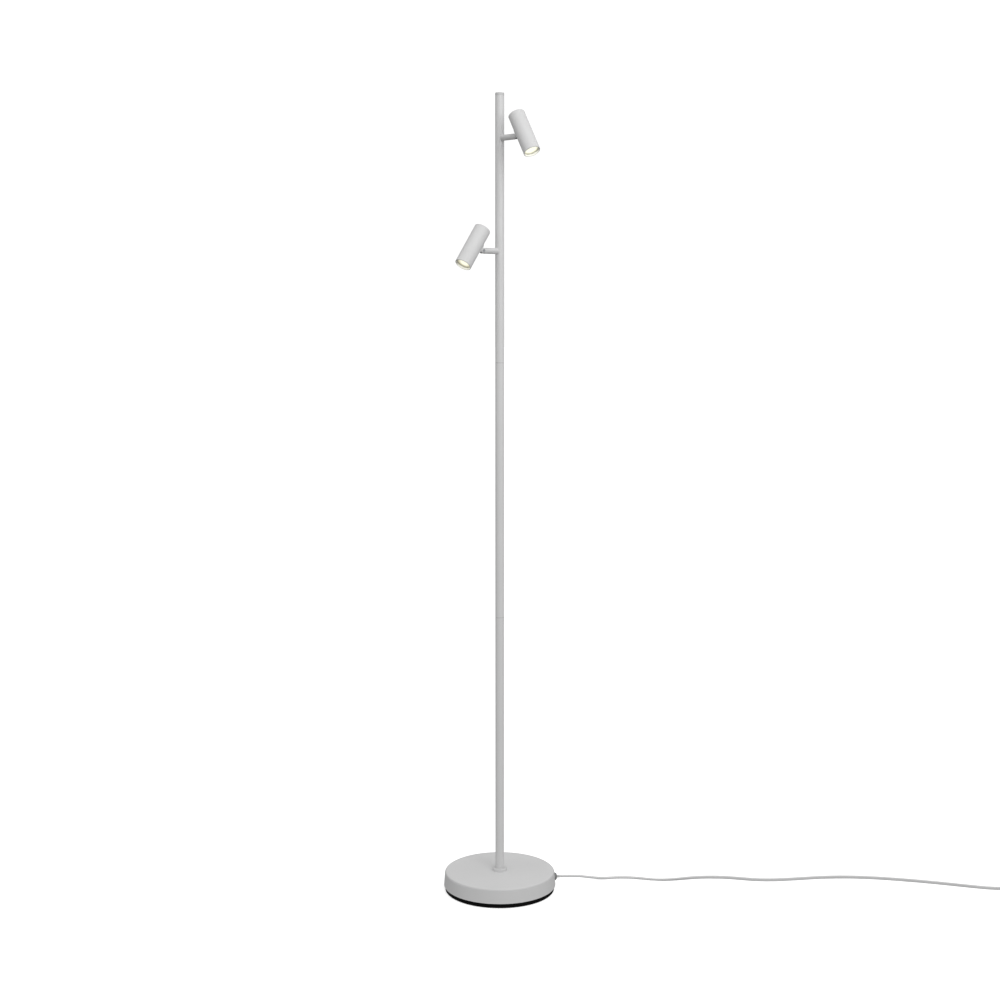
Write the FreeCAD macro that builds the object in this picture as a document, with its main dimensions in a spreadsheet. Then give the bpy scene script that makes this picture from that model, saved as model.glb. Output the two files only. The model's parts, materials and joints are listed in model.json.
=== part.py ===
import FreeCAD, Part
import math
import os
import re
import Sketcher

# Torchiere floor lamp with a reading light. A slim pole of three tubes stands on a round
# weighted base and carries two short arms. Each arm holds a cylindrical spot head on a
# knuckle that swivels about the arm and tilts about a cross pin. Millimetres, Z up, with
# the origin on the floor under the pole. The front is -Y and the cord leaves towards +X.

Vector = FreeCAD.Vector

SIZES = {
    # Base cover, plinth and foot, with heights above the floor
    "base_height": 36.0,
    "base_rim_radius": 101.6,
    "skirt_flare": 1.9,
    "cover_wall": 1.2,
    "rim_round": 4.0,
    "plinth_height": 9.5,
    "plinth_gap": 1.0,
    "plinth_bevel": 0.8,
    "plate_wall": 2.0,
    "plate_floor": 2.2,
    "plate_lip": 4.0,
    "foot_stand": 0.8,
    "foot_ring_inset": 6.3,
    "foot_ring_width": 9.0,
    "foot_ring_seat": 0.7,
    # Cast weight with its hub, and the parts that clamp the pole to it
    "weight_gap": 1.3,
    "weight_thickness": 12.0,
    "weight_bevel": 1.5,
    "hub_radius": 20.0,
    "nut_pocket_radius": 13.0,
    "nut_pocket_depth": 18.0,
    "nut_flats": 17.0,
    "nut_height": 6.0,
    "nipple_radius": 5.0,
    "nipple_bore": 3.6,
    "nipple_end": 2.0,
    "nipple_grip": 20.0,
    "base_screw_circle": 70.0,
    "base_screw_radius": 2.0,
    "base_screw_length": 9.0,
    "base_screw_head": 3.8,
    "channel_width": 8.0,
    "channel_height": 6.0,
    "lead_bend_room": 10.0,
    "lead_hole": 4.0,
    # Driver, cord clamp and gland along the line where the cord enters
    "cord_azimuth": 7.0,
    "gland_height": 19.0,
    "gland_radius": 7.0,
    "gland_reach": 3.8,
    "gland_nose_radius": 4.4,
    "gland_shank": 4.6,
    "gland_depth": 5.1,
    "gland_barb": 5.4,
    "gland_barb_slope": 1.0,
    "gland_barb_room": 1.3,
    "gland_dome": 2.6,
    "driver_gap": 3.0,
    "driver_length": 48.0,
    "driver_width": 27.0,
    "driver_height": 16.0,
    "driver_round": 2.0,
    "clamp_inset": 8.0,
    "clamp_thickness": 6.0,
    "clamp_width": 26.0,
    "clamp_height": 9.0,
    "clamp_screw_spread": 9.0,
    "clamp_screw_radius": 1.45,
    "clamp_screw_head": 2.6,
    "clamp_screw_rise": 1.6,
    "clamp_screw_depth": 7.0,
    # Pole
    "pole_radius": 8.0,
    "pole_wall": 1.2,
    "lower_tube_length": 479.0,
    "middle_tube_length": 463.0,
    "upper_tube_length": 467.0,
    "tube_bevel": 0.4,
    "cap_height": 5.0,
    "cap_plug": 12.0,
    "cap_round": 0.8,
    "collar_radius": 13.0,
    "collar_height": 5.0,
    "collar_round": 1.2,
    "insert_length": 25.0,
    "coupler_length": 60.0,
    "coupler_bore": 4.6,
    # Arms, each at its own distance below the pole's top and turned its own way about the pole
    "upper_arm_drop": 78.3,
    "lower_arm_drop": 274.7,
    "upper_azimuth": -52.5,
    "lower_azimuth": -132.8,
    "upper_tilt": 33.5,
    "lower_tilt": 38.4,
    "arm_radius": 5.2,
    "arm_bore": 4.0,
    "arm_bore_start": 16.0,
    "stud_radius": 4.0,
    "stud_start": 3.2,
    "stud_overlap": 3.0,
    "anchor_height": 18.0,
    "anchor_bore": 2.8,
    "lead_passage": 2.4,
    "lead_turn": 2.2,
    "lead_clearance": 0.3,
    # Knuckle: yoke, blade, washers and pivot screw
    "pivot_reach": 45.2,
    "arm_tip_back": 5.0,
    "shoulder_gap": 0.2,
    "shank_length": 20.0,
    "fork_end_flat": 0.2,
    "eye_radius": 4.6,
    "slot_gap": 0.3,
    "slot_width": 4.2,
    "blade_thickness": 3.2,
    "neck_width": 7.0,
    "pivot_screw_radius": 1.5,
    "pivot_screw_head": 2.5,
    "pivot_screw_rise": 1.0,
    "pivot_head_seat": 3.7,
    "pivot_head_gap": 0.15,
    "pivot_screw_end": 4.4,
    "socket_flats": 2.2,
    "socket_depth": 0.6,
    # Spot heads, measured from the point of their axis that is abreast of the pivot
    "head_radius": 14.85,
    "head_wall": 1.3,
    "head_front": 49.55,
    "head_back": 30.05,
    "head_offset": 22.5,
    "mouth_round": 0.4,
    "saddle_reach": 5.7,
    "saddle_width": 10.0,
    "saddle_length": 16.0,
    "saddle_round": 1.0,
    "saddle_screw_spread": 5.0,
    "saddle_screw_radius": 1.2,
    "saddle_screw_head": 2.2,
    "saddle_screw_rise": 1.1,
    "saddle_screw_grip": 2.6,
    "saddle_screw_lift": 0.2,
    "rear_cap_thickness": 2.5,
    "rear_cap_round": 1.0,
    "spigot_depth": 6.0,
    "spigot_wall": 1.5,
    "lens_recess": 5.0,
    "lens_thickness": 2.0,
    "lens_ring_height": 1.5,
    "lens_ring_width": 1.3,
    "board_depth": 17.95,
    "board_radius": 11.5,
    "board_thickness": 1.6,
    "chip_radius": 3.0,
    "chip_height": 0.8,
    "cup_throat": 4.2,
    "cup_mouth": 11.8,
    "cup_wall": 1.0,
    "sink_plate": 6.0,
    "sink_core": 5.0,
    "sink_length": 34.0,
    "fin_radius": 12.0,
    "fin_thickness": 1.2,
    # Fits and running gaps
    "fit": 0.05,
    "seat_gap": 0.05,
    "washer_gap": 0.02,
    # Cord, leads, foot switch, coil and plug
    "cord_diameter": 5.4,
    "lead_diameter": 2.6,
    "lead_spread": 1.4,
    "switch_x": 1004.0,
    "switch_y": -10.0,
    "switch_radius": 31.0,
    "switch_wall": 2.0,
    "switch_split": 9.5,
    "switch_height": 16.0,
    "switch_shoulder": 6.0,
    "switch_edge_round": 2.0,
    "switch_bevel": 1.0,
    "switch_cord_height": 5.2,
    "nozzle_length": 8.0,
    "nozzle_radius": 4.2,
    "nozzle_tip_radius": 3.4,
    "nozzle_root": 1.0,
    "button_radius": 15.0,
    "button_rise": 4.0,
    "button_round": 1.5,
    "button_gap": 0.4,
    "button_flange": 2.5,
    "button_flange_height": 2.0,
    "button_clearance": 0.3,
    "coil_x": 1080.0,
    "coil_outer": 39.6,
    "coil_pitch": 5.9,
    "plug_x": 1030.0,
    "plug_length": 35.5,
    "plug_thickness": 13.7,
    "plug_rear_width": 13.0,
    "plug_waist": 12.0,
    "plug_waist_width": 19.0,
    "plug_shoulder": 22.0,
    "plug_width": 35.3,
    "plug_round": 2.5,
    "plug_nozzle": 15.0,
    "pin_radius": 2.0,
    "pin_length": 19.0,
    "pin_spread": 9.3,
    "pin_bevel": 0.8,
}

FORMULAS = {
    "base_skirt_radius": "base_rim_radius + skirt_flare",
    "plinth_radius": "base_skirt_radius - cover_wall - plinth_gap",
    "foot_ring_radius": "plinth_radius - foot_ring_inset",
    "weight_radius": "plinth_radius - plate_wall - weight_gap",
    "gland_nose": "base_skirt_radius + gland_reach",
    "gland_shank_end": "base_skirt_radius - gland_depth",
    "clamp_place": "weight_radius - clamp_inset",
    "weight_bottom": "foot_stand + plate_floor",
    "weight_top": "weight_bottom + weight_thickness",
    "hub_top": "base_height - cover_wall",
    "nut_seat": "weight_bottom + nut_pocket_depth",
    "nut_bottom": "nut_seat - nut_height",
    "nipple_bottom": "nut_bottom - nipple_end",
    "nipple_hole": "nipple_radius + fit",
    "foot_seat": "foot_stand + foot_ring_seat",
    "foot_inner": "foot_ring_radius - foot_ring_width",
    "base_screw_hole": "base_screw_radius + fit",
    "base_head_height": "base_screw_head - base_screw_radius",
    "barb_back": "base_skirt_radius - cover_wall - gland_barb_room",
    "driver_end": "clamp_place - clamp_thickness / 2 - driver_gap",
    "driver_start": "driver_end - driver_length",
    "lead_drop": "driver_start - lead_bend_room",
    "cord_hole": "cord_diameter / 2 + fit",
    "clamp_top": "weight_top + clamp_height",
    "pole_bore": "pole_radius - pole_wall",
    "inside_fit": "pole_bore - fit",
    "lower_joint": "base_height + lower_tube_length",
    "upper_joint": "lower_joint + middle_tube_length",
    "cap_bottom": "upper_joint + upper_tube_length",
    "pole_top": "cap_bottom + cap_height",
    "upper_arm_height": "pole_top - upper_arm_drop",
    "lower_arm_height": "pole_top - lower_arm_drop",
    "arm_tip": "pivot_reach - arm_tip_back",
    "shoulder": "arm_tip + shoulder_gap",
    "shank_radius": "arm_bore - fit",
    "shank_start": "arm_tip - shank_length",
    "blade_half": "blade_thickness / 2",
    "washer_inner": "blade_half + washer_gap",
    "washer_outer": "slot_width / 2 - washer_gap",
    "pivot_hole": "pivot_screw_radius + fit",
    "saddle_back": "head_offset - saddle_reach",
    "head_bore": "head_radius - head_wall",
    "bore_fit": "head_bore - fit",
    "mouth": "-head_front",
    "cap_seam": "head_back - rear_cap_thickness",
    "lens_front": "mouth + lens_recess",
    "lens_back": "lens_front + lens_thickness",
    "board_front": "mouth + board_depth",
    "sink_front": "board_front + board_thickness",
    "sink_shoulder": "sink_front + sink_plate",
    "sink_back": "sink_front + sink_length",
    "switch_floor": "switch_wall",
    "switch_inner": "switch_radius - switch_wall",
    "button_hole": "button_radius + button_gap",
    "flange_top": "switch_height - switch_wall - button_clearance",
    "flange_bottom": "flange_top - button_flange_height",
    "flange_radius": "button_radius + button_flange",
    "nozzle_end": "switch_radius + nozzle_length",
    "coil_y": "switch_y + coil_outer",
    "floor_level": "cord_diameter / 2 + seat_gap",
    "plug_axis": "plug_thickness / 2",
}

# The frames that the pieces are built in: Z up and X along the cord's entry or along the
# arm, and for a head X away from the pivot with Z along the head's axis, rearwards.
CORD_FRAME = "placement(vector(0; 0; 0); rotationz(cord_azimuth))"
ARM_FRAME = "placement(vector(0; 0; SIDE_arm_height); rotationz(SIDE_azimuth))"
HEAD_FRAME = (
    ARM_FRAME
    + " * placement(vector(pivot_reach; 0; 0); rotationy(-SIDE_tilt))"
    + " * placement(vector(head_offset; 0; 0); rotationz(0))"
)
SWITCH_FRAME = "placement(vector(switch_x; switch_y; 0); rotationz(0))"
PLUG_FRAME = "placement(vector(plug_x; coil_y + coil_outer; plug_axis); rotationz(180))"

doc = FreeCAD.newDocument("floor_lamp")
pieces = []


def fill_sheet():
    """Put each size in the sheet: its name in column A and its value, with an alias, in B."""
    sizes = doc.addObject("Spreadsheet::Sheet", "Sizes")
    for row, (name, value) in enumerate(SIZES.items(), 1):
        sizes.set("A%d" % row, name)
        sizes.set("B%d" % row, str(value))
        sizes.setAlias("B%d" % row, name)
    doc.recompute()
    return sizes


sheet = fill_sheet()


def bound(formula):
    """Write a formula of size names as an expression on the sheet's cells."""

    def cell(match):
        word = match.group()
        if word in FORMULAS:
            return "(" + bound(FORMULAS[word]) + ")"
        return "Sizes." + word if word in SIZES else word

    return re.sub(r"[a-z_]+", cell, str(formula))


def measure(formula):
    """The value of a formula of size names."""
    return sheet.evalExpression(bound(formula))


def new_body(label, frame=None):
    body = doc.addObject("PartDesign::Body", label)
    if frame:
        body.setExpression("Placement", bound(frame))
    pieces.append(body)
    return body


def new_sketch(body, role, offset=None):
    """A sketch on one of the body's origin planes, moved or turned on it by an offset."""
    sketch = body.newObject("Sketcher::SketchObject", body.Name + "_sketch")
    plane = [item for item in body.Origin.OriginFeatures if item.Role == role][0]
    sketch.AttachmentSupport = [(plane, "")]
    sketch.MapMode = "FlatFace"
    if offset:
        sketch.setExpression("AttachmentOffset", bound(offset))
    return sketch


def tie_point(sketch, geometry, point, across, up):
    """Hold a point of the sketch at bound distances from the sketch's origin."""
    for kind, formula in (("DistanceX", across), ("DistanceY", up)):
        rule = Sketcher.Constraint(kind, -1, 1, geometry, point, measure(formula))
        number = sketch.addConstraint(rule)
        sketch.setExpression("Constraints[%d]" % number, bound(formula))


def draw_outline(sketch, corners):
    """A closed outline of straight edges through corners given as formulas."""
    first = sketch.GeometryCount
    spots = [Vector(measure(across), measure(up), 0) for across, up in corners]
    count = len(spots)
    for start, end in zip(spots, spots[1:] + spots[:1]):
        sketch.addGeometry(Part.LineSegment(start, end), False)
    for number in range(count):
        after = first + (number + 1) % count
        sketch.addConstraint(Sketcher.Constraint("Coincident", first + number, 2, after, 1))
    for number, (across, up) in enumerate(corners):
        tie_point(sketch, first + number, 1, across, up)


def draw_circle(sketch, across, up, radius):
    centre = Vector(measure(across), measure(up), 0)
    circle = sketch.addGeometry(Part.Circle(centre, Vector(0, 0, 1), measure(radius)), False)
    tie_point(sketch, circle, 3, across, up)
    number = sketch.addConstraint(Sketcher.Constraint("Radius", circle, measure(radius)))
    sketch.setExpression("Constraints[%d]" % number, bound(radius))


def box_corners(left, bottom, right, top):
    return [(left, bottom), (right, bottom), (right, top), (left, top)]


def ring_corners(inner, bottom, outer, top):
    """The half section of a plain ring between two radii and two heights."""
    return box_corners(inner, bottom, outer, top)


def turn(body, corners, role="XZ_Plane", axis="V_Axis", offset=None, kind="Revolution"):
    """Turn a closed half section about an axis of its sketch, as a solid or as a groove."""
    sketch = new_sketch(body, role, offset)
    draw_outline(sketch, corners)
    feature = body.newObject("PartDesign::" + kind, body.Name + "_" + kind.lower())
    feature.Profile = sketch
    feature.ReferenceAxis = (sketch, [axis])
    feature.Angle = 360
    return feature


def extrude(body, kind, sketch, length, both_ways, reverse=False):
    feature = body.newObject("PartDesign::" + kind, body.Name + "_" + kind.lower())
    feature.Profile = sketch
    feature.setExpression("Length", bound(length))
    feature.SideType = "Symmetric" if both_ways else "One side"
    feature.Reversed = reverse
    return feature


def pad(body, sketch, length, both_ways=True):
    return extrude(body, "Pad", sketch, length, both_ways)


def pocket(body, sketch, length, both_ways=True, reverse=False):
    return extrude(body, "Pocket", sketch, length, both_ways, reverse)


def dress(body, kind, size_property, size, edge_test):
    """Fillet or chamfer the edges of the body so far that pass a test."""
    doc.recompute()
    bare = body.Tip
    edges = enumerate(bare.Shape.Edges, 1)
    names = ["Edge%d" % number for number, edge in edges if edge_test(edge)]
    if not names:
        raise RuntimeError("no edge to dress on " + body.Name)
    feature = body.newObject("PartDesign::" + kind, body.Name + "_" + kind.lower())
    feature.Base = (bare, names)
    feature.setExpression(size_property, bound(size))
    body.Tip = feature
    return feature


def round_rim(body, radius, place, size, along=Vector(0, 0, 1)):
    """Round the circular edge of a turned piece at a radius and a place along its axis."""
    rim = measure(radius)
    height = measure(place)

    def on_rim(edge):
        curve = edge.Curve
        if curve.TypeId != "Part::GeomCircle" or abs(curve.Radius - rim) > 0.001:
            return False
        return abs(curve.Center.dot(along) - height) < 0.001

    dress(body, "Fillet", "Radius", size, on_rim)


def round_corners(body, direction, size):
    """Round the straight edges that run in a direction."""

    def runs_along(edge):
        if edge.Curve.TypeId != "Part::GeomLine":
            return False
        run = edge.Vertexes[-1].Point - edge.Vertexes[0].Point
        return run.Length > 0 and abs(abs(run.dot(direction)) / run.Length - 1) < 1e-6

    dress(body, "Fillet", "Radius", size, runs_along)


def repeat_round(body, features, copies):
    """Repeat features of the body in a circle about its Z axis."""
    axis = [item for item in body.Origin.OriginFeatures if item.Role == "Z_Axis"][0]
    pattern = body.newObject("PartDesign::PolarPattern", body.Name + "_pattern")
    pattern.Originals = features
    pattern.Axis = (axis, [""])
    pattern.Occurrences = copies
    body.Tip = pattern
    return pattern


def hexagon(flats, across="0", up="0"):
    """The corners of a hexagon between two flats, about a centre."""
    corners = []
    for number in range(6):
        angle = math.radians(60 * number)
        reach = 0.5 / math.cos(math.radians(30))
        right = "%s + %s * %.6f" % (across, flats, reach * math.cos(angle))
        rise = "%s + %s * %.6f" % (up, flats, reach * math.sin(angle))
        corners.append((right, rise))
    return corners


# Base


def base_cover():
    body = new_body("base_cover", CORD_FRAME)
    turn(body, [
        ("nipple_hole", "hub_top"),
        ("base_rim_radius - cover_wall", "hub_top"),
        ("base_skirt_radius - cover_wall", "plinth_height"),
        ("base_skirt_radius", "plinth_height"),
        ("base_rim_radius", "base_height"),
        ("nipple_hole", "base_height"),
    ])
    gland_hole = new_sketch(body, "YZ_Plane")
    draw_circle(gland_hole, "0", "gland_height", "gland_shank + fit")
    pocket(body, gland_hole, "base_skirt_radius + cover_wall", both_ways=False, reverse=True)
    round_rim(body, "base_rim_radius - cover_wall", "hub_top", "rim_round - cover_wall")
    round_rim(body, "base_rim_radius", "base_height", "rim_round")


def base_weight():
    body = new_body("base_weight", CORD_FRAME)
    turn(body, [
        ("nipple_hole", "nut_seat"),
        ("nut_pocket_radius", "nut_seat"),
        ("nut_pocket_radius", "weight_bottom"),
        ("weight_radius - weight_bevel", "weight_bottom"),
        ("weight_radius", "weight_bottom + weight_bevel"),
        ("weight_radius", "weight_top - weight_bevel"),
        ("weight_radius - weight_bevel", "weight_top"),
        ("hub_radius", "weight_top"),
        ("hub_radius", "hub_top"),
        ("nipple_hole", "hub_top"),
    ])
    channel = new_sketch(body, "XY_Plane", "placement(vector(0; 0; weight_bottom); rotationz(0))")
    draw_outline(channel, box_corners("0", "-channel_width / 2", "lead_drop", "channel_width / 2"))
    pocket(body, channel, "channel_height", both_ways=False, reverse=True)
    drop = new_sketch(body, "XY_Plane")
    draw_circle(drop, "lead_drop", "0", "lead_hole")
    pocket(body, drop, "3 * weight_top")
    clamp_holes = new_sketch(body, "XY_Plane", "placement(vector(0; 0; weight_top); rotationz(0))")
    for side in ("-", ""):
        draw_circle(clamp_holes, "clamp_place", side + "clamp_screw_spread", "clamp_screw_radius + fit")
    pocket(body, clamp_holes, "clamp_screw_depth + fit", both_ways=False)
    screw_hole = new_sketch(body, "XY_Plane", "placement(vector(0; 0; weight_bottom); rotationz(0))")
    draw_circle(screw_hole, "base_screw_circle", "0", "base_screw_hole")
    hole = pocket(body, screw_hole, "base_screw_length", both_ways=False, reverse=True)
    repeat_round(body, [hole], 4)


def bottom_plate():
    body = new_body("bottom_plate", CORD_FRAME)
    turn(body, [
        ("0", "foot_stand"),
        ("plinth_radius - plinth_bevel", "foot_stand"),
        ("plinth_radius", "foot_stand + plinth_bevel"),
        ("plinth_radius", "plinth_height + plate_lip"),
        ("plinth_radius - plate_wall", "plinth_height + plate_lip"),
        ("plinth_radius - plate_wall", "weight_bottom"),
        ("0", "weight_bottom"),
    ])
    turn(body, ring_corners("foot_inner", "0", "foot_ring_radius", "foot_seat"), kind="Groove")
    countersink = turn(body, [
        ("0", "0"),
        ("base_screw_head + fit", "0"),
        ("base_screw_head + fit", "foot_stand"),
        ("base_screw_hole", "foot_stand + base_head_height"),
        ("base_screw_hole", "weight_bottom + plate_floor"),
        ("0", "weight_bottom + plate_floor"),
    ], offset="placement(vector(base_screw_circle; 0; 0); rotationz(0))", kind="Groove")
    repeat_round(body, [countersink], 4)


def foot_ring():
    body = new_body("foot_ring")
    turn(body, ring_corners("foot_inner + fit", "0", "foot_ring_radius - fit", "foot_seat"))


def base_screws():
    body = new_body("base_screws", CORD_FRAME)
    screw = turn(body, [
        ("0", "foot_stand"),
        ("base_screw_head", "foot_stand"),
        ("base_screw_radius", "foot_stand + base_head_height"),
        ("base_screw_radius", "foot_stand + base_screw_length"),
        ("0", "foot_stand + base_screw_length"),
    ], offset="placement(vector(base_screw_circle; 0; 0); rotationz(0))")
    repeat_round(body, [screw], 4)


def pole_nipple():
    body = new_body("pole_nipple")
    turn(body, ring_corners("nipple_bore", "nipple_bottom", "nipple_radius", "base_height + nipple_grip"))


def nipple_nut():
    body = new_body("nipple_nut")
    sketch = new_sketch(body, "XY_Plane", "placement(vector(0; 0; nut_bottom); rotationz(0))")
    draw_outline(sketch, hexagon("nut_flats"))
    draw_circle(sketch, "0", "0", "nipple_hole")
    pad(body, sketch, "nut_height", both_ways=False)


def led_driver():
    body = new_body("led_driver", CORD_FRAME)
    sketch = new_sketch(body, "XY_Plane", "placement(vector(0; 0; weight_top); rotationz(0))")
    draw_outline(sketch, box_corners("driver_start", "-driver_width / 2", "driver_end", "driver_width / 2"))
    pad(body, sketch, "driver_height", both_ways=False)
    round_corners(body, Vector(0, 0, 1), "driver_round")


def cord_clamp():
    body = new_body("cord_clamp", CORD_FRAME)
    sketch = new_sketch(body, "XY_Plane", "placement(vector(0; 0; weight_top); rotationz(0))")
    draw_outline(sketch, box_corners(
        "clamp_place - clamp_thickness / 2", "-clamp_width / 2",
        "clamp_place + clamp_thickness / 2", "clamp_width / 2"))
    for side in ("-", ""):
        draw_circle(sketch, "clamp_place", side + "clamp_screw_spread", "clamp_screw_radius + fit")
    pad(body, sketch, "clamp_height", both_ways=False)
    bore = new_sketch(body, "YZ_Plane")
    draw_circle(bore, "0", "gland_height", "cord_hole")
    pocket(body, bore, "clamp_place + clamp_thickness", both_ways=False, reverse=True)


def clamp_screws():
    body = new_body("clamp_screws", "placement(vector(0; 0; 0); rotationz(cord_azimuth))")
    for side in ("-", ""):
        turn(body, [
            ("0", "weight_top - clamp_screw_depth"),
            ("clamp_screw_radius", "weight_top - clamp_screw_depth"),
            ("clamp_screw_radius", "clamp_top"),
            ("clamp_screw_head", "clamp_top"),
            ("clamp_screw_head", "clamp_top + clamp_screw_rise"),
            ("0", "clamp_top + clamp_screw_rise"),
        ], offset="placement(vector(clamp_place; 0; %sclamp_screw_spread); rotationz(0))" % side)


def cord_gland():
    """Snap-in bush: a dome that seats on the sloping skirt, with a barbed shank inside."""
    body = new_body("cord_gland", CORD_FRAME)
    on_axis = "placement(vector(0; gland_height; 0); rotationz(0))"
    turn(body, [
        ("base_rim_radius - gland_radius", "cord_hole"),
        ("base_rim_radius - gland_radius", "gland_radius"),
        ("gland_nose - gland_dome", "gland_radius"),
        ("gland_nose - gland_dome / 3", "gland_nose_radius + 0.6 * (gland_radius - gland_nose_radius)"),
        ("gland_nose", "gland_nose_radius"),
        ("gland_nose", "cord_hole"),
    ], axis="H_Axis", offset=on_axis)
    turn(body, [
        ("0", "plinth_height"),
        ("base_skirt_radius + seat_gap", "plinth_height"),
        ("base_rim_radius + seat_gap", "base_height"),
        ("0", "base_height"),
    ], kind="Groove")
    turn(body, [
        ("gland_shank_end", "cord_hole"),
        ("gland_shank_end", "gland_shank"),
        ("gland_shank_end + gland_barb_slope", "gland_barb"),
        ("barb_back", "gland_barb"),
        ("barb_back", "gland_shank"),
        ("gland_nose - gland_dome", "gland_shank"),
        ("gland_nose - gland_dome", "cord_hole"),
    ], axis="H_Axis", offset=on_axis)


# Pole


def pole_tube(label, bottom, top):
    body = new_body(label)
    turn(body, [
        ("pole_bore", bottom),
        ("pole_radius - tube_bevel", bottom),
        ("pole_radius", bottom + " + tube_bevel"),
        ("pole_radius", top + " - tube_bevel"),
        ("pole_radius - tube_bevel", top),
        ("pole_bore", top),
    ])
    return body


def upper_tube():
    body = pole_tube("upper_tube", "upper_joint", "cap_bottom")
    for side in ("upper", "lower"):
        hole = new_sketch(body, "YZ_Plane", "placement(vector(0; 0; 0); rotationy(%s_azimuth))" % side)
        draw_circle(hole, "0", side + "_arm_height", "stud_radius + fit")
        pocket(body, hole, "2 * pole_radius", both_ways=False, reverse=True)


def inside_sleeve(label, bore, bottom, top):
    body = new_body(label)
    turn(body, ring_corners(bore, bottom, "inside_fit", top))


def pole_collar():
    body = new_body("pole_collar")
    collar_top = "base_height + collar_height"
    turn(body, ring_corners("pole_radius + fit", "base_height", "collar_radius", collar_top))
    round_rim(body, "collar_radius", collar_top, "collar_round")


def pole_cap():
    body = new_body("pole_cap")
    turn(body, [
        ("0", "cap_bottom - cap_plug"),
        ("inside_fit", "cap_bottom - cap_plug"),
        ("inside_fit", "cap_bottom"),
        ("pole_radius - tube_bevel", "cap_bottom"),
        ("pole_radius", "cap_bottom + tube_bevel"),
        ("pole_radius", "pole_top"),
        ("0", "pole_top"),
    ])
    round_rim(body, "pole_radius", "pole_top", "cap_round")


def arm(side):
    """Tube coped to the pole's front, with a hollow stud that screws into the anchor."""
    body = new_body(side + "_arm", ARM_FRAME.replace("SIDE", side))
    turn(body, [
        ("pole_radius / 2", "lead_passage"),
        ("pole_radius / 2", "arm_radius"),
        ("arm_tip", "arm_radius"),
        ("arm_tip", "arm_bore"),
        ("arm_bore_start", "arm_bore"),
        ("arm_bore_start", "lead_passage"),
    ], axis="H_Axis")
    cope = new_sketch(body, "XY_Plane")
    draw_circle(cope, "0", "0", "pole_radius + seat_gap")
    pocket(body, cope, "4 * arm_radius")
    turn(body, [
        ("stud_start", "lead_passage"),
        ("stud_start", "stud_radius"),
        ("pole_radius + stud_overlap", "stud_radius"),
        ("pole_radius + stud_overlap", "lead_passage"),
    ], axis="H_Axis")


def arm_anchor(side):
    body = new_body(side + "_arm_anchor", ARM_FRAME.replace("SIDE", side))
    turn(body, ring_corners("anchor_bore", "-anchor_height / 2", "inside_fit", "anchor_height / 2"))
    thread = new_sketch(body, "YZ_Plane")
    draw_circle(thread, "0", "0", "stud_radius + fit")
    pocket(body, thread, "pole_radius", both_ways=False, reverse=True)


# Knuckle


def yoke(side):
    """Turned fork: a shank that swivels in the arm, and two cheeks with a domed end."""
    body = new_body(side + "_yoke", ARM_FRAME.replace("SIDE", side))
    fork_end = "pivot_reach + arm_radius"
    turn(body, [
        ("shank_start", "0"),
        ("shank_start", "shank_radius"),
        ("shoulder", "shank_radius"),
        ("shoulder", "arm_radius"),
        (fork_end, "arm_radius"),
        (fork_end, "0"),
    ], axis="H_Axis")
    round_rim(body, "arm_radius", fork_end, "arm_radius - fork_end_flat", along=Vector(1, 0, 0))
    eye_slot = new_sketch(body, "XZ_Plane")
    draw_circle(eye_slot, "pivot_reach", "0", "eye_radius + slot_gap")
    pocket(body, eye_slot, "slot_width")
    neck_slot = new_sketch(body, "XZ_Plane")
    draw_outline(neck_slot, box_corners(
        "pivot_reach - neck_width / 2 - slot_gap", "-2 * arm_radius",
        "pivot_reach + 2 * arm_radius", "2 * arm_radius"))
    pocket(body, neck_slot, "slot_width")
    lead_bore = new_sketch(body, "YZ_Plane")
    draw_circle(lead_bore, "0", "0", "lead_diameter / 2 + lead_clearance")
    pocket(body, lead_bore, "pivot_reach", both_ways=False, reverse=True)
    screw_bore = new_sketch(body, "XZ_Plane")
    draw_circle(screw_bore, "pivot_reach", "0", "pivot_hole")
    pocket(body, screw_bore, "2 * pivot_screw_end + 2 * fit")
    head_seat = new_sketch(body, "XZ_Plane", "placement(vector(0; 0; -pivot_head_seat); rotationz(0))")
    draw_circle(head_seat, "pivot_reach", "0", "pivot_screw_head + pivot_head_gap")
    pocket(body, head_seat, "arm_radius", both_ways=False)


def pivot_screw(side):
    body = new_body(side + "_pivot_screw", ARM_FRAME.replace("SIDE", side))
    head_top = "pivot_head_seat + pivot_screw_rise"
    turn(body, [
        ("0", "-pivot_screw_end"),
        ("pivot_screw_radius", "-pivot_screw_end"),
        ("pivot_screw_radius", "pivot_head_seat"),
        ("pivot_screw_head", "pivot_head_seat"),
        ("pivot_screw_head", head_top),
        ("0", head_top),
    ], role="XY_Plane", offset="placement(vector(pivot_reach; 0; 0); rotationz(0))")
    on_head = "placement(vector(pivot_reach; 0; -(%s)); rotationz(0))" % head_top
    socket = new_sketch(body, "XZ_Plane", on_head)
    draw_outline(socket, hexagon("socket_flats"))
    pocket(body, socket, "socket_depth", both_ways=False, reverse=True)


def friction_washers(side):
    body = new_body(side + "_friction_washers", ARM_FRAME.replace("SIDE", side))
    for sign in ("-", ""):
        turn(body, ring_corners(
            "pivot_hole", sign + "washer_inner", "eye_radius - slot_gap", sign + "washer_outer"),
            role="XY_Plane", offset="placement(vector(pivot_reach; 0; 0); rotationz(0))")


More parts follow.
